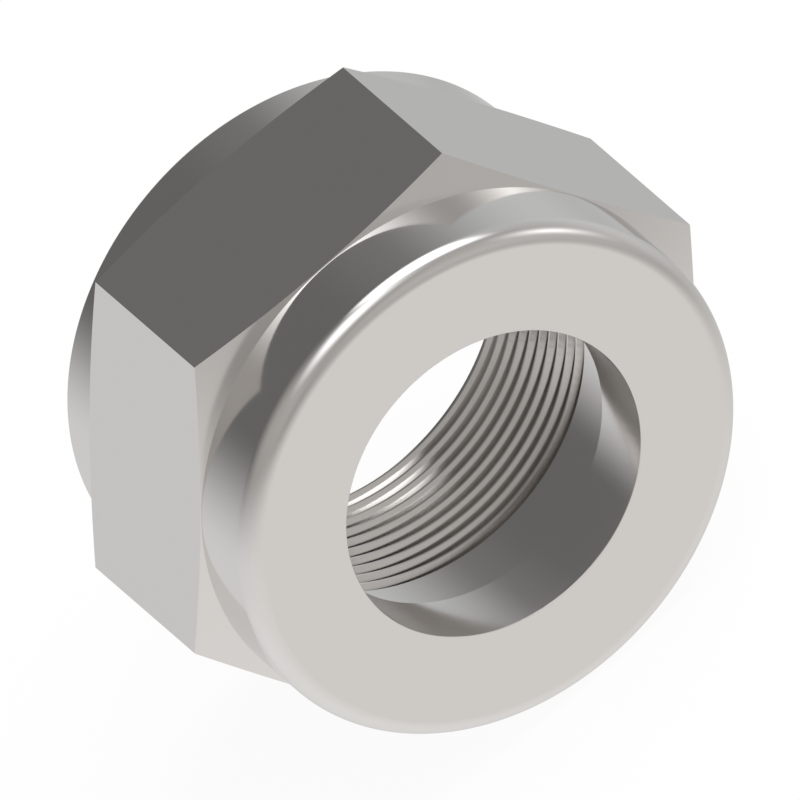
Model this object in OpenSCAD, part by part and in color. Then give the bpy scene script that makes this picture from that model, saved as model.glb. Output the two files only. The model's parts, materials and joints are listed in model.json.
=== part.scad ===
// Tube nut in one piece: a hexagon between two round collars, with a hole for
// the tube at one end, a conical seat inside, and the hole for a fine thread at
// the other end. It lies on one flat of the hexagon with its axis along Y. The
// tube end points to -Y and the thread end to +Y. Sizes are in millimetres.

/* [Hexagon] */
// Width across the flats, the size of the wrench
across_flats = 65; // [60:1:75]
// Length of the hexagon along its corners
hex_length = 22.5; // [16:0.5:32]
// Angle of the turned shoulders, from the plane of the corners
shoulder_angle = 15; // [8:1:30]
// How far the round collars lie inside the flats
collar_inset = 0.1; // [0.05:0.05:1]

/* [Tube end] */
// How far the tube collar stands out from the corners
tube_collar_length = 11.7; // [8:0.1:16]
// Radius of the rounded rim of the tube collar
tube_rim_radius = 2.3; // [0.5:0.1:4]
// Diameter of the hole that the tube passes through
tube_hole_d = 38.6; // [34:0.1:42]
// Length of the straight part of the tube hole
tube_hole_length = 8.8; // [5:0.1:12]
// Angle between the axis and the conical seat, which presses on the tube's ring
seat_angle = 60; // [45:1:75]

/* [Thread end] */
// How far the thread collar stands out from the corners
thread_collar_length = 8.4; // [6:0.1:14]
// Height and depth of the bevel on the rim of the thread collar
thread_rim_bevel = 1.8; // [0.4:0.1:3]
// Minor diameter of the thread
thread_minor_d = 47.8; // [44:0.1:50]
// Diameter of the countersink where the thread opens
thread_mouth_d = 50.2; // [50.1:0.1:54]

/* [Hidden] */
$fn = 128;

// Room by which a cutting shape runs past the metal that it cuts
overrun = 2;

flat_r = across_flats / 2;
corner_r = flat_r / cos(30);
collar_r = flat_r - collar_inset;
tube_hole_r = tube_hole_d / 2;
thread_minor_r = thread_minor_d / 2;

// Stations along the axis, counted from the face of the tube end
hex_start = tube_collar_length;
hex_end = hex_start + hex_length;
total_length = hex_end + thread_collar_length;
seat_start = tube_hole_length;
seat_end = seat_start + (thread_minor_r - tube_hole_r) / tan(seat_angle);
countersink_start = total_length - (thread_mouth_d - thread_minor_d) / 2;

// Distance along the axis that a shoulder falls back by the radius r
function shoulder_drop(r) = (r - corner_r) * tan(shoulder_angle);

// Half section of the blank as it leaves the lathe, with radius first. The
// shoulders run on past the corners, so the hexagon alone sets their reach.
module turned_section() {
    shoulder_r = corner_r + overrun;
    difference() {
        polygon([
            [0, 0],
            [collar_r, 0],
            [collar_r, hex_start + shoulder_drop(collar_r)],
            [shoulder_r, hex_start + shoulder_drop(shoulder_r)],
            [shoulder_r, hex_end - shoulder_drop(shoulder_r)],
            [collar_r, hex_end - shoulder_drop(collar_r)],
            [collar_r, total_length - thread_rim_bevel],
            [collar_r - thread_rim_bevel, total_length],
            [0, total_length]
        ]);
        translate([collar_r - tube_rim_radius, 0])
            rim_waste(tube_rim_radius);
    }
}

// What is turned off a square rim at the origin to leave a quarter round of
// radius r, with the square's own corner at [r, 0]
module rim_waste(r) {
    difference() {
        translate([0, -overrun])
            square([r + overrun, r + overrun]);
        translate([0, r])
            circle(r = r);
        translate([-overrun, 0])
            square([overrun, r]);
    }
}

// Half section of the hole right through the nut, with radius first
module passage_section() {
    countersink_end_r = thread_mouth_d / 2 + overrun;
    polygon([
        [0, -overrun],
        [tube_hole_r, -overrun],
        [tube_hole_r, seat_start],
        [thread_minor_r, seat_end],
        [thread_minor_r, countersink_start],
        [countersink_end_r, total_length + overrun],
        [0, total_length + overrun]
    ]);
}

// Hexagon bar as long as the nut, with corners to the left and right
module hexagon_bar() {
    linear_extrude(height = total_length)
        circle(r = corner_r, $fn = 6);
}

// The nut standing on its tube end
module upright_nut() {
    difference() {
        intersection() {
            hexagon_bar();
            rotate_extrude()
                turned_section();
        }
        rotate_extrude()
            passage_section();
    }
}

// The nut at rest on a flat, centred on the origin
module tube_nut() {
    color("silver")
        translate([0, -total_length / 2, flat_r])
            rotate([-90, 0, 0])
                upright_nut();
}

tube_nut();
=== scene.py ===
"""Tube nut of plated steel on a pale studio floor.

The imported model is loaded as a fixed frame. The nut's finished mesh, with its
thread cut in, takes the place of the plain solid. A floor, soft lamps and a
camera at the photograph's viewing angle complete the picture. Lengths are in
metres and angles in radians, unless a name ends in _mm, _px or _deg.
"""

from __future__ import annotations

import json
import logging
import math
from dataclasses import dataclass, field
from enum import IntEnum

import bmesh
import bpy
from mathutils import Matrix, Vector

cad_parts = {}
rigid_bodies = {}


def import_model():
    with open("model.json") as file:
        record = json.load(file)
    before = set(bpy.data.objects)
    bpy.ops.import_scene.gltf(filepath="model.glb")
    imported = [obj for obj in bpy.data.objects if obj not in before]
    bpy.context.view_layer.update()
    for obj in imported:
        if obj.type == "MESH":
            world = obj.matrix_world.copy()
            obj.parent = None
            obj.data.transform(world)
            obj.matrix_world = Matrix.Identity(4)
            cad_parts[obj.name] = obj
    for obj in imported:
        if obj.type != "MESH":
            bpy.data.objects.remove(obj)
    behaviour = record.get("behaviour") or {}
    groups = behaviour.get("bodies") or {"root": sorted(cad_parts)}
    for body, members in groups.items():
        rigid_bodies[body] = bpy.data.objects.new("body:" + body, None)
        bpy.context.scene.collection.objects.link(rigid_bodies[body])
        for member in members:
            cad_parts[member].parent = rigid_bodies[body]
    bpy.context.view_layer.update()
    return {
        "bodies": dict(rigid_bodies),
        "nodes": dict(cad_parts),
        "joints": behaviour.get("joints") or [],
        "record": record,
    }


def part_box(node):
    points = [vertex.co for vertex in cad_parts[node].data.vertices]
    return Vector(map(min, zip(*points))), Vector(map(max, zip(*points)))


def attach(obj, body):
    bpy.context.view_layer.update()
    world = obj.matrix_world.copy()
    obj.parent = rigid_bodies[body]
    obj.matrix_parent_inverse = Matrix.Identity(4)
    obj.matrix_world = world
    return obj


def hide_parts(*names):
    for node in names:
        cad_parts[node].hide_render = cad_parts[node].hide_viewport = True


LOG = logging.getLogger("tube_nut")
MM = 0.001
NODE = "tube_nut"
RIGHT_ANGLE = math.pi / 2
FULL_TURN = 2 * math.pi
HEXAGON_SIDES = 6
HEXAGON_HALF_ANGLE = math.pi / HEXAGON_SIDES
MERGE_DISTANCE = 0.0005 * MM


class Surface(IntEnum):
    """Which finish a face of the nut carries; the value is its material's place."""

    TURNED = 0
    DRAWN = 1
    BORED = 2
    THREADED = 3


# Sizes


@dataclass(frozen=True)
class NutSizes:
    """Sizes of the nut, in metres, with stations counted from the tube end's face.

    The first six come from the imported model, and the rest repeat its source,
    apart from threaded_length, because only the finished nut has a thread.
    """

    flat_r: float
    length: float
    tube_hole_r: float
    tube_hole_length: float
    thread_r: float
    thread_wall_length: float
    hex_length: float = 22.5 * MM
    shoulder_angle: float = math.radians(15)
    collar_inset: float = 0.1 * MM
    tube_collar_length: float = 11.7 * MM
    tube_rim_radius: float = 2.3 * MM
    thread_rim_bevel: float = 1.8 * MM
    thread_mouth_r: float = 25.1 * MM
    threaded_length: float = 20.0 * MM

    @classmethod
    def from_frame(cls, frame: dict) -> NutSizes:
        """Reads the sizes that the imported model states.


        Returns:
            The nut's sizes.
        """
        low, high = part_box(NODE)
        mounts = {mount["name"]: mount["dims"] for mount in frame["record"]["mounts"]}
        return cls(
            flat_r=(high[2] - low[2]) / 2,
            length=high[1] - low[1],
            tube_hole_r=mounts["tube_hole"]["r_mm"] * MM,
            tube_hole_length=mounts["tube_hole"]["length_mm"] * MM,
            thread_r=mounts["thread"]["r_mm"] * MM,
            thread_wall_length=mounts["thread"]["length_mm"] * MM,
        )

    @property
    def corner_r(self) -> float:
        """Radius to the hexagon's corners."""
        return self.flat_r / math.cos(HEXAGON_HALF_ANGLE)

    @property
    def collar_r(self) -> float:
        """Radius of both round collars."""
        return self.flat_r - self.collar_inset

    @property
    def hex_end(self) -> float:
        """Station of the hexagon's corners on the thread side."""
        return self.tube_collar_length + self.hex_length

    @property
    def countersink_start(self) -> float:
        """Station where the thread's countersink begins to open."""
        return self.length - (self.thread_mouth_r - self.thread_r)

    @property
    def seat_end(self) -> float:
        """Station where the conical seat meets the thread's wall."""
        return self.countersink_start - self.thread_wall_length

    @property
    def thread_start(self) -> float:
        """Station where the smooth part of the wall gives way to the thread."""
        return self.countersink_start - self.threaded_length

    @property
    def face_y(self) -> float:
        """Place of the tube end's face on the Y axis."""
        return -self.length / 2

    @property
    def centre(self) -> Vector:
        """Point on the nut's axis in the plane of the tube end's face."""
        return Vector((0, self.face_y, self.flat_r))

    def shoulder_drop(self, radius: float) -> float:
        """Distance along the axis that a shoulder falls back from the corners."""
        return (radius - self.corner_r) * math.tan(self.shoulder_angle)


@dataclass(frozen=True)
class ThreadForm:
    """Form of the thread's groove and the way that the tool leaves it."""

    pitch: float = 2.0 * MM
    crest_width: float = 0.25 * MM
    root_width: float = 0.25 * MM
    root_rounding: float = 0.1 * MM
    root_segments: int = 4
    flank_angle: float = math.radians(30)
    wall_above_crest: float = 1.2 * MM
    crest_allowance: float = 0.12 * MM
    turns: float = 11.5
    steps_per_turn: int = 144
    runout_angle: float = math.radians(22)
    runout_turns: float = 0.2
    runout_lift: float = 2.2 * MM

    @property
    def depth(self) -> float:
        """Depth of the groove below the crest."""
        return (self.pitch - self.crest_width - self.root_width) / 2 / math.tan(self.flank_angle)


# Mesh helpers


def new_object(name: str, bm: bmesh.types.BMesh) -> bpy.types.Object:
    """Makes a scene object of a bmesh, and frees the bmesh.

    Args:
        name: name of the object and of its mesh.
        bm: the shape, in the frame's own place.

    Returns:
        The new object, at the origin.
    """
    mesh = bpy.data.meshes.new(name)
    bm.to_mesh(mesh)
    bm.free()
    obj = bpy.data.objects.new(name, mesh)
    bpy.context.scene.collection.objects.link(obj)
    return obj


def combine(target: bpy.types.Object, tool: bpy.types.Object, operation: str) -> None:
    """Combines one closed shape with another, which is then deleted.

    Args:
        target: the shape that is kept.
        tool: the shape that cuts or bounds it.
        operation: INTERSECT or DIFFERENCE.
    """
    modifier = target.modifiers.new(operation.lower(), "BOOLEAN")
    modifier.operation = operation
    modifier.solver = "EXACT"
    modifier.object = tool
    depsgraph = bpy.context.evaluated_depsgraph_get()
    cut_mesh = bpy.data.meshes.new_from_object(target.evaluated_get(depsgraph))
    target.modifiers.clear()
    plain_mesh, target.data = target.data, cut_mesh
    bpy.data.meshes.remove(plain_mesh)
    cut_mesh.name = target.name
    tool_mesh = tool.data
    bpy.data.objects.remove(tool)
    bpy.data.meshes.remove(tool_mesh)


def recalculate_normals(bm: bmesh.types.BMesh) -> None:
    """Merges doubled points and turns every face of a closed shape outwards."""
    bmesh.ops.remove_doubles(bm, verts=bm.verts, dist=MERGE_DISTANCE)
    bmesh.ops.recalc_face_normals(bm, faces=bm.faces)


# The nut


@dataclass(frozen=True)
class SectionCorner:
    """One corner of the nut's half section, and how far it is rounded."""

    radius: float
    station: float
    rounding: float = 0.0
    segments: int = 1


@dataclass
class TubeNut:
    """The whole nut: turned blank, hexagon and thread."""

    sizes: NutSizes
    thread: ThreadForm = field(default_factory=ThreadForm)
    turned_steps: int = 288
    rim_segments: int = 24
    edge_break: float = 0.08 * MM
    edge_segments: int = 6
    overrun: float = 2.0 * MM
    groove_margin: float = 0.02 * MM
    flat_margin_share: float = 0.25
    inward_share: float = 0.1
    face_weight: int = 100
    crease_angle: float = math.radians(17)

    def section_corners(self) -> list[SectionCorner]:
        """Lists the corners of the half section, round the metal.

        Returns:
            The corners in order, from the edge of the tube hole.
        """
        s = self.sizes
        shoulder_r = s.corner_r + self.overrun
        eased = {"rounding": self.edge_break, "segments": self.edge_segments}
        return [
            SectionCorner(s.tube_hole_r, 0, **eased),
            SectionCorner(s.tube_hole_r, s.tube_hole_length),
            SectionCorner(s.thread_r, s.seat_end),
            SectionCorner(s.thread_r, s.countersink_start),
            SectionCorner(s.thread_mouth_r, s.length, **eased),
            SectionCorner(s.collar_r - s.thread_rim_bevel, s.length, **eased),
            SectionCorner(s.collar_r, s.length - s.thread_rim_bevel, **eased),
            SectionCorner(s.collar_r, s.hex_end - s.shoulder_drop(s.collar_r)),
            SectionCorner(shoulder_r, s.hex_end - s.shoulder_drop(shoulder_r)),
            SectionCorner(shoulder_r, s.tube_collar_length + s.shoulder_drop(shoulder_r)),
            SectionCorner(s.collar_r, s.tube_collar_length + s.shoulder_drop(s.collar_r)),
            SectionCorner(s.collar_r, 0, s.tube_rim_radius, self.rim_segments),
        ]

    def turned_blank(self) -> bpy.types.Object:
        """Spins the half section into the blank as it leaves the lathe.

        Returns:
            The blank, before the hexagon and the thread are cut.
        """
        bm = bmesh.new()
        corners = self.section_corners()
        verts = [
            bm.verts.new(self.sizes.centre + Vector((corner.radius, corner.station, 0)))
            for corner in corners
        ]
        for index, vert in enumerate(verts):
            bm.edges.new((verts[index - 1], vert))
        for corner, vert in zip(corners, verts):
            if corner.rounding:
                bmesh.ops.bevel(
                    bm,
                    geom=[vert],
                    offset=corner.rounding,
                    segments=corner.segments,
                    profile=0.5,
                    affect="VERTICES",
                    material=-1,
                )
        bmesh.ops.spin(
            bm,
            geom=bm.verts[:] + bm.edges[:],
            cent=self.sizes.centre,
            axis=(0, 1, 0),
            angle=FULL_TURN,
            steps=self.turned_steps,
            use_merge=True,
        )
        recalculate_normals(bm)
        return new_object(NODE + "_finished", bm)

    def hexagon_bar(self) -> bpy.types.Object:
        """Makes the hexagon bar, with a corner on either side and a flat below.

        Returns:
            The bar, which runs past both ends of the nut.
        """
        s = self.sizes
        bm = bmesh.new()
        bmesh.ops.create_circle(bm, cap_ends=True, segments=HEXAGON_SIDES, radius=s.corner_r)
        half_side = Matrix.Rotation(HEXAGON_HALF_ANGLE, 3, "Z")
        bmesh.ops.rotate(bm, verts=bm.verts, matrix=half_side)
        end = bmesh.ops.extrude_face_region(bm, geom=bm.faces[:])["geom"]
        bmesh.ops.translate(
            bm,
            verts=[part for part in end if isinstance(part, bmesh.types.BMVert)],
            vec=(0, 0, s.length + 2 * self.overrun),
        )
        sides = [edge for edge in bm.edges if abs(edge.verts[0].co.z - edge.verts[1].co.z) > s.length]
        bmesh.ops.bevel(
            bm,
            geom=sides,
            offset=self.edge_break,
            segments=self.edge_segments,
            profile=0.5,
            affect="EDGES",
            material=-1,
        )
        bmesh.ops.rotate(bm, verts=bm.verts, matrix=Matrix.Rotation(-RIGHT_ANGLE, 3, "X"))
        bmesh.ops.translate(bm, verts=bm.verts, vec=s.centre - Vector((0, self.overrun, 0)))
        recalculate_normals(bm)
        return new_object("hexagon_bar", bm)

    def thread_tool(self) -> bpy.types.Object:
        """Sweeps the thread's groove as a closed helix, from outside the mouth inwards.

        Returns:
            The shape that cuts the groove, with its run-out.
        """
        s, t = self.sizes, self.thread
        slope = math.tan(t.flank_angle)
        mouth = (t.pitch - t.crest_width) / 2
        root_r = s.thread_r + t.depth
        lip_r = s.thread_r - t.crest_allowance
        lip = mouth + t.crest_allowance * slope
        inner_r = s.thread_r - t.wall_above_crest
        start = s.centre + Vector((0, s.thread_start + t.turns * t.pitch, 0))
        bm = bmesh.new()
        outline = [
            (inner_r, -lip),
            (lip_r, -lip),
            (root_r, -t.root_width / 2),
            (root_r, t.root_width / 2),
            (lip_r, lip),
            (inner_r, lip),
        ]
        verts = [bm.verts.new(start + Vector((radius, along, 0))) for radius, along in outline]
        bm.faces.new(verts)
        bmesh.ops.bevel(
            bm,
            geom=verts[2:4],
            offset=t.root_rounding,
            segments=t.root_segments,
            profile=0.5,
            affect="VERTICES",
            material=-1,
        )
        # The thread is right-handed: it climbs towards the tube end, -Y, as it
        # turns from +X to +Z.
        start_angle = t.runout_angle - t.turns * FULL_TURN
        bmesh.ops.rotate(
            bm, cent=start, verts=bm.verts, matrix=Matrix.Rotation(-start_angle, 3, "Y")
        )
        step = {
            "cent": s.centre,
            "axis": (0, -1, 0),
            "dvec": (0, -t.pitch / t.steps_per_turn, 0),
        }
        steps = round(t.turns * t.steps_per_turn)
        runout_steps = round(t.runout_turns * t.steps_per_turn)
        last = bmesh.ops.spin(
            bm,
            geom=bm.verts[:] + bm.edges[:] + bm.faces[:],
            angle=t.turns * FULL_TURN,
            steps=steps,
            **step,
        )["geom_last"]
        # The tool leaves the metal over the last part of a turn.
        for _ in range(runout_steps):
            last = bmesh.ops.spin(
                bm, geom=last, angle=FULL_TURN / t.steps_per_turn, steps=1, **step
            )["geom_last"]
            ring = [part for part in last if isinstance(part, bmesh.types.BMVert)]
            middle = sum((vert.co for vert in ring), Vector()) / len(ring)
            inward = Vector((-middle.x, 0, s.flat_r - middle.z)).normalized()
            bmesh.ops.translate(bm, verts=ring, vec=inward * t.runout_lift / runout_steps)
        recalculate_normals(bm)
        return new_object("thread_tool", bm)

    def surface_of(self, face: bmesh.types.BMFace) -> Surface:
        """Tells which finish a face of the finished nut carries.

        Args:
            face: a face of the nut.

        Returns:
            Its kind of surface.
        """
        s = self.sizes
        middle = face.calc_center_median() - s.centre
        station, middle.y = middle.y, 0
        if abs(middle.dot(face.normal) - s.flat_r) < s.collar_inset * self.flat_margin_share:
            return Surface.DRAWN
        if middle.dot(face.normal) > -s.flat_r * self.inward_share:
            return Surface.TURNED
        depth = middle.length - s.thread_r
        off_countersink = abs(station - s.countersink_start - depth)
        if depth > self.groove_margin and off_countersink > self.groove_margin:
            return Surface.THREADED
        return Surface.BORED

    def finish_mesh(self, nut: bpy.types.Object) -> None:
        """Sorts the faces by finish, and creases the edges between surfaces.

        Args:
            nut: the nut, with all its cuts made.
        """
        bm = bmesh.new()
        bm.from_mesh(nut.data)
        recalculate_normals(bm)
        for face in bm.faces:
            face.material_index = self.surface_of(face)
            face.smooth = True
        for edge in bm.edges:
            edge.smooth = edge.calc_face_angle(math.pi) < self.crease_angle
        bm.to_mesh(nut.data)
        bm.free()
        weighted = nut.modifiers.new("even_shading", "WEIGHTED_NORMAL")
        weighted.keep_sharp = True
        weighted.weight = self.face_weight

    def build(self) -> bpy.types.Object:
        """Makes the nut's finished piece.

        Returns:
            The nut, with one material place for each kind of surface.
        """
        nut = self.turned_blank()
        combine(nut, self.hexagon_bar(), "INTERSECT")
        combine(nut, self.thread_tool(), "DIFFERENCE")
        self.finish_mesh(nut)
        return nut


# Finishes


Socket = bpy.types.NodeSocket
Colour = tuple[float, float, float]


@dataclass
class Shading:
    """Adds nodes to one tree and joins them up."""

    tree: bpy.types.NodeTree

    def join(self, value: Socket | float | Vector | Colour, target: Socket) -> None:
        """Links a socket to a target, or writes a plain value there.

        Args:
            value: a socket, or the value itself.
            target: the socket that gets it.
        """
        if isinstance(value, bpy.types.NodeSocket):
            self.tree.links.new(value, target)
        elif target.type == "RGBA":
            target.default_value = (*value, 1)
        else:
            target.default_value = value

    def node(self, kind: str, inputs: dict | None = None, **settings: object) -> bpy.types.Node:
        """Adds a node.

        Args:
            kind: the node's type, without its ShaderNode prefix.
            inputs: what its sockets get, by name or place.
            **settings: the node's own properties.

        Returns:
            The new node.
        """
        node = self.tree.nodes.new("ShaderNode" + kind)
        for name, value in settings.items():
            setattr(node, name, value)
        for place, value in (inputs or {}).items():
            self.join(value, node.inputs[place])
        return node

    def math(self, operation: str, *values: Socket | float) -> Socket:
        """Adds one sum on numbers."""
        return self.node("Math", dict(enumerate(values)), operation=operation).outputs[0]

    def vector(self, operation: str, *values: Socket | Vector) -> bpy.types.Node:
        """Adds one sum on vectors."""
        return self.node("VectorMath", dict(enumerate(values)), operation=operation)

    def step(self, value: Socket, start: float, end: float) -> Socket:
        """Rises softly from 0 at the start value to 1 at the end value.

        Args:
            value: what is compared.
            start: where the rise begins.
            end: where it ends, which may lie below the start.

        Returns:
            A number from 0 to 1.
        """
        if start > end:
            return self.math("SUBTRACT", 1.0, self.step(value, end, start))
        inputs = {"Value": value, "From Min": start, "From Max": end}
        return self.node("MapRange", inputs, interpolation_type="SMOOTHSTEP").outputs["Result"]

    def blend(self, share: Socket, first: Socket | Colour, second: Socket | Colour) -> Socket:
        """Goes from the first colour to the second as the share goes from 0 to 1."""
        inputs = {"Fac": share, "Color1": first, "Color2": second}
        return self.node("MixRGB", inputs).outputs["Color"]

    def hump(self, value: Socket, centre: float, width: float) -> Socket:
        """Gives a soft hump, which is 1 at the centre and falls off over the width."""
        off = self.math("DIVIDE", self.math("SUBTRACT", value, centre), width)
        return self.math("EXPONENT", self.math("MULTIPLY", self.math("MULTIPLY", off, off), -1.0))

    def place_on_nut(self, centre_z: float) -> Socket:
        """Gives the place on the piece, counted from a point on the nut's axis."""
        place = self.node("TexCoord").outputs["Object"]
        return self.vector("SUBTRACT", place, Vector((0, 0, centre_z))).outputs["Vector"]

    def radius_and_along(self, centre_z: float) -> tuple[Socket, Socket]:
        """Gives the distance from the nut's axis, and the way along it.

        Args:
            centre_z: height of the nut's axis.

        Returns:
            The distance and the way.
        """
        centred = self.place_on_nut(centre_z)
        across = self.vector("MULTIPLY", centred, Vector((1, 0, 1))).outputs["Vector"]
        radius = self.vector("LENGTH", across).outputs["Value"]
        return radius, self.node("SeparateXYZ", {"Vector": centred}).outputs["Y"]

    def angle_from(self, direction: Socket, centre: Vector) -> Socket:
        """Gives the angle between a direction and a fixed one."""
        cosine = self.vector("DOT_PRODUCT", direction, centre).outputs["Value"]
        return self.math("ARCCOSINE", cosine)


@dataclass(frozen=True)
class SteelFinish:
    """A plated steel surface with fine marks from its making."""

    name: str
    roughness: float = 0.12
    roughness_spread: float = 0.03
    mark_depth: float = 0.00015 * MM
    marks_per_metre: float = 2500.0
    mark_detail: float = 2.0
    tint: Colour = (0.826, 0.807, 0.795)
    edge_tint: Colour = (0.9, 0.9, 0.9)

    def marks(self, shading: Shading, centre_z: float) -> Socket:
        """Adds the height of the tool marks; each finish has its own pattern.

        Args:
            shading: the tree that the nodes go in.
            centre_z: height of the nut's axis.

        Returns:
            The height, from 0 to 1.
        """
        raise NotImplementedError

    def colour(self, shading: Shading, centre_z: float) -> Socket | Colour:
        """Gives the metal's colour, which is plain unless a finish says otherwise.

        Args:
            shading: the tree that the nodes go in.
            centre_z: height of the nut's axis.

        Returns:
            The colour.
        """
        return self.tint

    def material(self, centre_z: float) -> bpy.types.Material:
        """Makes the finish's material.

        Args:
            centre_z: height of the nut's axis, on which the marks are centred.

        Returns:
            The material.
        """
        material = bpy.data.materials.new(self.name)
        material.use_nodes = True
        shading = Shading(material.node_tree)
        shader = material.node_tree.nodes["Principled BSDF"]
        shading.join(self.colour(shading, centre_z), shader.inputs["Base Color"])
        shader.inputs["Metallic"].default_value = 1.0
        shader.inputs["Specular Tint"].default_value = (*self.edge_tint, 1)
        height = self.marks(shading, centre_z)
        bump_inputs = {"Strength": 1.0, "Distance": self.mark_depth, "Height": height}
        bump = shading.node("Bump", bump_inputs)
        shading.join(bump.outputs["Normal"], shader.inputs["Normal"])
        spread_inputs = {
            "Value": height,
            "To Min": self.roughness - self.roughness_spread / 2,
            "To Max": self.roughness + self.roughness_spread / 2,
        }
        spread = shading.node("MapRange", spread_inputs)
        shading.join(spread.outputs["Result"], shader.inputs["Roughness"])
        return material


@dataclass(frozen=True)
class TurnedFinish(SteelFinish):
    """Fine rings left by a turning tool, round the nut's axis."""

    def marks(self, shading: Shading, centre_z: float) -> Socket:
        """Adds rings that follow both the radius and the way along the axis."""
        radius, along = shading.radius_and_along(centre_z)
        ring = shading.math("MULTIPLY", shading.math("ADD", radius, along), self.marks_per_metre)
        noise_inputs = {"W": ring, "Scale": 1.0, "Detail": self.mark_detail}
        return shading.node("TexNoise", noise_inputs, noise_dimensions="1D").outputs["Fac"]


@dataclass(frozen=True)
class DrawnFinish(SteelFinish):
    """Faint lines along the bar, as drawing through a die leaves them."""

    stretch: float = 0.02

    def marks(self, shading: Shading, centre_z: float) -> Socket:
        """Adds noise that is drawn out along the nut's axis."""
        centred = shading.place_on_nut(centre_z)
        drawn = shading.vector("MULTIPLY", centred, Vector((1, self.stretch, 1))).outputs["Vector"]
        noise_inputs = {"Vector": drawn, "Scale": self.marks_per_metre, "Detail": self.mark_detail}
        return shading.node("TexNoise", noise_inputs, noise_dimensions="3D").outputs["Fac"]


@dataclass(frozen=True)
class ThreadFinish(TurnedFinish):
    """Turned marks on the thread, with painted shade that darkens it deep in its groove."""

    crest_r: float = 0.0
    # Painted shade: the colour and the depths below the crest over which the groove is darkened,
    # standing in for the shade deep in it.
    root_painted_shade: Colour = (0.50, 0.48, 0.46)
    painted_shade_depths: tuple[float, float] = (0.45 * MM, 0.95 * MM)

    def colour(self, shading: Shading, centre_z: float) -> Socket | Colour:
        """Goes from the plain tint at the crest to a painted shade near the root, which stands in for
        the shade deep in the groove.
        """
        radius, _ = shading.radius_and_along(centre_z)
        share = shading.step(radius, *(self.crest_r + depth for depth in self.painted_shade_depths))
        return shading.blend(share, self.tint, self.root_painted_shade)


def finishes(sizes: NutSizes) -> dict[Surface, SteelFinish]:
    """Lists the finish of each kind of surface.

    Args:
        sizes: the nut's sizes.

    Returns:
        The finishes, one for each surface.
    """
    return {
        Surface.TURNED: TurnedFinish("turned_steel"),
        Surface.DRAWN: DrawnFinish("drawn_steel", tint=(0.838, 0.819, 0.807)),
        Surface.BORED: TurnedFinish("bored_steel", roughness=0.145),
        Surface.THREADED: ThreadFinish(
            "threaded_steel", tint=(0.795, 0.770, 0.752), crest_r=sizes.thread_r
        ),
    }


# Studio


def pointing(azimuth_deg: float, elevation_deg: float) -> Vector:
    """Gives the direction at an azimuth from the front, right-hand positive, and a rise.

    Args:
        azimuth_deg: angle from the front, counted to the right.
        elevation_deg: angle above the level.

    Returns:
        The direction, of length 1.
    """
    azimuth, elevation = math.radians(azimuth_deg), math.radians(elevation_deg)
    level = math.cos(elevation)
    return Vector((level * math.sin(azimuth), -level * math.cos(azimuth), math.sin(elevation)))


@dataclass(frozen=True)
class Column:
    """A darker upright stripe on the room's walls."""

    azimuth_deg: float
    width_deg: float
    foot_deg: tuple[float, float]
    share: float

    def dimming(self, shading: Shading, azimuth: Socket, rise: Socket) -> Socket:
        """Gives the share of the wall's light that stays.

        Args:
            shading: the tree that the nodes go in.
            azimuth: angle round the room, from the front.
            rise: angle above the level.

        Returns:
            The share, which is 1 away from the column.
        """
        stripe = shading.hump(azimuth, math.radians(self.azimuth_deg), math.radians(self.width_deg))
        standing = shading.step(rise, *map(math.radians, self.foot_deg))
        loss = shading.math("MULTIPLY", shading.math("MULTIPLY", stripe, standing), self.share)
        return shading.math("SUBTRACT", 1.0, loss)


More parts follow.
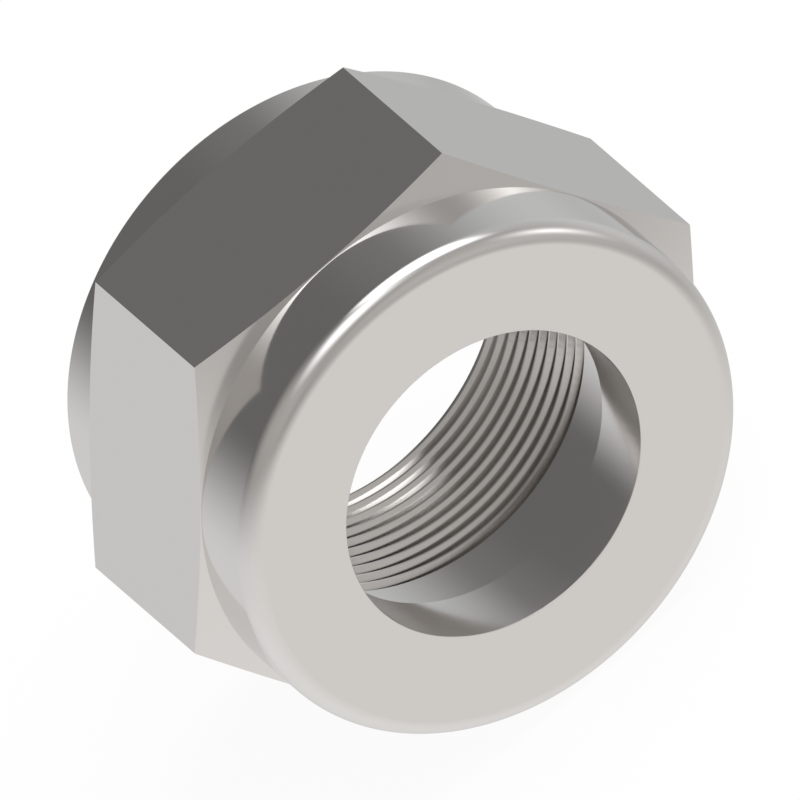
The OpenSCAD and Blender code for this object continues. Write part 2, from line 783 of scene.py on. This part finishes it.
@dataclass(frozen=True)
class Surroundings:
    """The pale room that the nut mirrors, as seen from the nut.

    The photograph's room stands upright while a corner of its hexagon points
    up. Here the nut lies on a flat, so the room turns with it. The walls go
    from left to right and on to the far right, with two darker columns, and a
    dark screen stands behind. The ground is a little lighter at the front
    right. The ceiling is a large softbox with one corner let down to the front
    left, and one small lamp stands at the front right.
    """

    turn: float = math.radians(30)
    left_wall: Colour = (0.315, 0.306, 0.292)
    right_wall: Colour = (0.497, 0.489, 0.478)
    far_wall: Colour = (0.504, 0.515, 0.511)
    wall_edges_deg: tuple[float, float] = (-130.0, 130.0)
    far_edges_deg: tuple[float, float] = (75.0, 130.0)
    band_gain: float = 0.247
    band_height_deg: float = 15.4
    band_width_deg: float = 22.8
    columns: tuple[Column, ...] = (
        Column(-14.5, 13.9, (-21.6, -1.6), 0.150),
        Column(62.0, 20.0, (-25.0, -5.0), 0.130),
    )
    screen: Colour = (0.146, 0.1445, 0.1425)
    screen_side: Colour = (0.190, 0.187, 0.185)
    screen_azimuth_deg: float = -152.0
    screen_side_deg: tuple[float, float] = (0.0, 30.0)
    screen_left_deg: tuple[float, float] = (13.0, 73.9)
    screen_right_deg: tuple[float, float] = (27.0, 75.6)
    ground_left: Colour = (0.728, 0.727, 0.722)
    ground_right: Colour = (0.777, 0.761, 0.741)
    ground_sides: tuple[float, float] = (-0.7, 0.7)
    ground_direction: Vector = pointing(50.0, 0.0)
    ground: Colour = (0.829, 0.828, 0.817)
    ground_edges_deg: tuple[float, float] = (0.3, 36.6)
    ground_fall_deg: tuple[float, float] = (30.0, 70.0)
    softbox: Colour = (2.75, 2.80, 2.85)
    softbox_turn: float = math.radians(19.4)
    softbox_centre: tuple[float, float] = (-0.022, 0.065)
    softbox_half_size: tuple[float, float] = (0.337, 0.357)
    softbox_edges: tuple[float, float] = (1.67, 0.33)
    softbox_squareness: float = 4.0
    softbox_lowest: float = 0.05
    panel_direction: Vector = pointing(-47.5, 52.5)
    panel_edges_deg: tuple[float, float] = (35.8, -18.6)
    lamp_direction: Vector = pointing(57.0, 33.5)
    lamp_radius_deg: float = 24.3
    lamp_level: float = 1.16
    lamp_falloff: float = 2.0

    def group(self) -> bpy.types.NodeTree:
        """Makes a node group that gives the room's light for any direction.

        Returns:
            The node group.
        """
        tree = bpy.data.node_groups.new("room_light", "ShaderNodeTree")
        face = tree.interface
        face.new_socket("Direction", in_out="INPUT", socket_type="NodeSocketVector")
        face.new_socket("Color", in_out="OUTPUT", socket_type="NodeSocketColor")
        shading = Shading(tree)
        given = tree.nodes.new("NodeGroupInput").outputs["Direction"]
        upright_inputs = {"Vector": given, "Angle": -self.turn}
        upright = shading.node("VectorRotate", upright_inputs, rotation_type="Y_AXIS").outputs[0]
        parts = shading.node("SeparateXYZ", {"Vector": upright}).outputs
        forward = shading.math("MULTIPLY", parts["Y"], -1.0)
        azimuth = shading.math("ARCTAN2", parts["X"], forward)
        rise = shading.math("ARCSINE", parts["Z"])
        result = tree.nodes.new("NodeGroupOutput")
        facing = shading.vector("DOT_PRODUCT", upright, self.ground_direction).outputs["Value"]
        sides = shading.step(facing, *self.ground_sides)
        edge = shading.blend(sides, self.ground_left, self.ground_right)
        light = self.with_lamp(shading, upright, self.room(shading, azimuth, rise, edge))
        shading.join(self.with_softbox(shading, upright, light), result.inputs["Color"])
        return tree

    def room(self, shading: Shading, azimuth: Socket, rise: Socket, edge: Socket) -> Socket:
        """Adds the walls, the dark screen and the ground.

        Args:
            shading: the tree that they go in.
            azimuth: angle round the room, from the front.
            rise: angle above the level.
            edge: the ground's light where it meets the walls.

        Returns:
            Their light.
        """
        sides = shading.step(azimuth, *map(math.radians, self.wall_edges_deg))
        walls = shading.blend(sides, self.left_wall, self.right_wall)
        far = shading.step(azimuth, *map(math.radians, self.far_edges_deg))
        walls = shading.blend(far, walls, self.far_wall)
        band = shading.hump(rise, *map(math.radians, (self.band_height_deg, self.band_width_deg)))
        gain = shading.math("ADD", shading.math("MULTIPLY", band, self.band_gain), 1.0)
        for column in self.columns:
            gain = shading.math("MULTIPLY", gain, column.dimming(shading, azimuth, rise))
        walls = shading.node("VectorMath", {0: walls, "Scale": gain}, operation="SCALE").outputs[0]
        centre = math.radians(self.screen_azimuth_deg)
        off_screen = shading.math(
            "WRAP", shading.math("SUBTRACT", azimuth, centre), math.pi, -math.pi
        )
        right_of_it = shading.math("MULTIPLY", off_screen, -1.0)
        lit = shading.math(
            "MAXIMUM",
            shading.step(off_screen, *map(math.radians, self.screen_left_deg)),
            shading.step(right_of_it, *map(math.radians, self.screen_right_deg)),
        )
        lighter = shading.step(right_of_it, *map(math.radians, self.screen_side_deg))
        walls = shading.blend(lit, shading.blend(lighter, self.screen, self.screen_side), walls)
        fall = shading.math("MULTIPLY", rise, -1.0)
        below = shading.step(fall, *map(math.radians, self.ground_fall_deg))
        ground = shading.blend(below, edge, self.ground)
        share = shading.step(fall, *map(math.radians, self.ground_edges_deg))
        return shading.blend(share, walls, ground)

    def with_lamp(self, shading: Shading, upright: Socket, light: Socket) -> Socket:
        """Adds the small lamp, brightest in its middle.

        Args:
            shading: the tree that the nodes go in.
            upright: direction in the room as it stands upright.
            light: the light so far.

        Returns:
            The light with the lamp.
        """
        angle = shading.angle_from(upright, self.lamp_direction)
        inputs = {"Value": angle, "From Min": math.radians(self.lamp_radius_deg), "From Max": 0.0}
        inside = shading.node("MapRange", inputs).outputs["Result"]
        focused = shading.math("POWER", inside, self.lamp_falloff)
        glow = shading.math("MULTIPLY", focused, self.lamp_level)
        return shading.vector("ADD", light, glow).outputs["Vector"]

    def with_softbox(self, shading: Shading, upright: Socket, light: Socket) -> Socket:
        """Adds the softbox overhead and its panel at the front left.

        Args:
            shading: the tree that the nodes go in.
            upright: direction in the room as it stands upright.
            light: the light so far.

        Returns:
            The light with the softbox.
        """
        height = shading.node("SeparateXYZ", {"Vector": upright}).outputs["Z"]
        lifted = shading.math("MAXIMUM", height, self.softbox_lowest)
        stretch = shading.math("DIVIDE", 1.0, lifted)
        level = shading.node("VectorMath", {0: upright, "Scale": stretch}, operation="SCALE")
        turned_inputs = {"Vector": level.outputs[0], "Angle": -self.softbox_turn}
        turned = shading.node("VectorRotate", turned_inputs, rotation_type="Z_AXIS").outputs[0]
        centre = Vector((*self.softbox_centre, 0))
        half_size = Vector((*self.softbox_half_size, 1))
        off_centre = shading.vector("SUBTRACT", turned, centre).outputs[0]
        scaled = shading.vector("DIVIDE", off_centre, half_size).outputs[0]
        parts = shading.node("SeparateXYZ", {"Vector": scaled}).outputs
        powers = (shading.math("POWER", parts[axis], self.softbox_squareness) for axis in "XY")
        reach = shading.math("POWER", shading.math("ADD", *powers), 1 / self.softbox_squareness)
        overhead = shading.step(reach, *self.softbox_edges)
        angle = shading.angle_from(upright, self.panel_direction)
        panel = shading.step(angle, *map(math.radians, self.panel_edges_deg))
        upward = shading.math("GREATER_THAN", height, 0.0)
        overhead = shading.math("MULTIPLY", overhead, upward)
        return shading.blend(shading.math("MAXIMUM", overhead, panel), light, self.softbox)


@dataclass(frozen=True)
class Sky:
    """The room beyond the floor, white where the camera sees it."""

    room_light: bpy.types.NodeTree

    def build(self) -> None:
        """Sets the world's shader."""
        world = bpy.data.worlds.new("studio")
        bpy.context.scene.world = world
        world.use_nodes = True
        shading = Shading(world.node_tree)
        room = shading.node("Group", node_tree=self.room_light)
        shading.join(shading.node("TexCoord").outputs["Generated"], room.inputs["Direction"])
        camera_ray = shading.node("LightPath").outputs["Is Camera Ray"]
        seen = shading.blend(camera_ray, room.outputs["Color"], (1.0, 1.0, 1.0))
        shading.join(seen, world.node_tree.nodes["Background"].inputs["Color"])


@dataclass(frozen=True)
class Floor:
    """Plain pale floor, white to the camera, that keeps a faint shadow.

    The room's own ground stands for it in the metal, so that the nut mirrors
    no hard horizon. It lies a hair below the flat that the nut rests on,
    because two faces in one plane would show through each other.
    """

    half_width: float = 4.0
    drop: float = 0.02 * MM
    albedo: float = 0.85
    glow_share: float = 0.94

    def build(self) -> bpy.types.Object:
        """Makes the floor and marks it as stage.

        Returns:
            The floor.
        """
        bm = bmesh.new()
        bmesh.ops.create_grid(
            bm,
            x_segments=1,
            y_segments=1,
            size=self.half_width,
            matrix=Matrix.Translation((0, 0, -self.drop)),
        )
        floor = new_object("floor", bm)
        floor.data.materials.append(self.material())
        floor.visible_glossy = False
        return floor

    def material(self) -> bpy.types.Material:
        """Mixes a white glow, for the camera, with a plain matt white.

        Returns:
            The material.
        """
        material = bpy.data.materials.new("pale_floor")
        material.use_nodes = True
        tree = material.node_tree
        tree.nodes.remove(tree.nodes["Principled BSDF"])
        shading = Shading(tree)
        matt_inputs = {"Color": (self.albedo, self.albedo, self.albedo)}
        matt = shading.node("BsdfDiffuse", matt_inputs).outputs["BSDF"]
        glow = shading.node("Emission").outputs["Emission"]
        camera_ray = shading.node("LightPath").outputs["Is Camera Ray"]
        share = shading.math("MULTIPLY", camera_ray, self.glow_share)
        mix = shading.node("MixShader", {"Fac": share, 1: matt, 2: glow}).outputs["Shader"]
        shading.join(mix, tree.nodes["Material Output"].inputs["Surface"])
        return material


@dataclass(frozen=True)
class Softbox:
    """A soft rectangular lamp for the floor; the room stands for it in the metal."""

    name: str = "overhead_softbox"
    direction: tuple[float, float, float] = (0.5, 0.0, 0.866)
    distance: float = 1.0
    size: float = 0.9
    level: float = 2.6

    def build(self, target: Vector) -> bpy.types.Object:
        """Places the lamp.

        Args:
            target: the point that the lamp faces.

        Returns:
            The lamp.
        """
        lamp = bpy.data.lights.new(self.name, "AREA")
        lamp.shape = "SQUARE"
        lamp.size = self.size
        lamp.energy = self.level * math.pi * self.size**2
        obj = bpy.data.objects.new(self.name, lamp)
        bpy.context.scene.collection.objects.link(obj)
        back = Vector(self.direction).normalized()
        aim = (-back).to_track_quat("-Z", "Y").to_matrix().to_4x4()
        obj.matrix_world = Matrix.Translation(target + back * self.distance) @ aim
        obj.visible_camera = False
        obj.visible_glossy = False
        return obj


@dataclass(frozen=True)
class PhotoCamera:
    """Parallel view from the photograph's angle.

    The photograph looks at the nut's axis from 30 degrees to one side and 30
    degrees above, with a corner of the hexagon at the top. Here the nut lies on
    a flat instead, so the camera rolls with it.
    """

    sizes: NutSizes
    side_angle: float = math.radians(30)
    rise_angle: float = math.radians(30)
    hexagon_turn: float = math.radians(30)
    frame_px: float = 800.0
    corner_radius_px: float = 330.3
    hexagon_centre_px: tuple[float, float] = (442.24, 439.03)
    distance: float = 0.6
    clip: tuple[float, float] = (0.01, 10.0)

    def build(self) -> bpy.types.Object:
        """Makes the camera and sets it as the scene's.

        Returns:
            The camera.
        """
        s = self.sizes
        back = Vector(
            (
                -math.sin(self.side_angle) * math.cos(self.rise_angle),
                -math.cos(self.side_angle) * math.cos(self.rise_angle),
                math.sin(self.rise_angle),
            )
        )
        right = Vector((math.cos(self.side_angle), -math.sin(self.side_angle), 0))
        upright = Matrix((right, back.cross(right), back)).transposed()
        turned = Matrix.Rotation(self.hexagon_turn, 3, "Y") @ upright
        right, up, back = turned.transposed()
        metres_per_px = s.corner_r / self.corner_radius_px
        hexagon_centre = s.centre + Vector((0, s.tube_collar_length, 0))
        offset_x = self.frame_px / 2 - self.hexagon_centre_px[0]
        offset_y = self.hexagon_centre_px[1] - self.frame_px / 2
        target = hexagon_centre + (right * offset_x + up * offset_y) * metres_per_px
        data = bpy.data.cameras.new("photo_camera")
        data.type = "ORTHO"
        data.ortho_scale = self.frame_px * metres_per_px
        data.clip_start, data.clip_end = self.clip
        camera = bpy.data.objects.new("photo_camera", data)
        bpy.context.scene.collection.objects.link(camera)
        camera.matrix_world = Matrix.Translation(target + back * self.distance) @ turned.to_4x4()
        bpy.context.scene.camera = camera
        return camera


# Scene


def corners(box: tuple[Vector, Vector]) -> list[list[float]]:
    """Turns a box's two corners into plain lists."""
    return [[float(value) for value in corner] for corner in box]


def main() -> None:
    """Builds the nut and its studio."""
    logging.basicConfig(level=logging.INFO, format="%(name)s: %(message)s")
    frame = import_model()
    sizes = NutSizes.from_frame(frame)
    PhotoCamera(sizes).build()

    nut = TubeNut(sizes).build()
    for finish in finishes(sizes).values():
        nut.data.materials.append(finish.material(sizes.flat_r))
    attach(nut, "root")
    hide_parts(NODE)
    LOG.info("%s: %d faces", nut.name, len(nut.data.polygons))

    room_light = Surroundings().group()
    Sky(room_light).build()
    Floor().build()
    Softbox().build(sizes.centre)
    bpy.context.scene.view_settings.view_transform = "Standard"


if __name__ == "__main__":
    main()
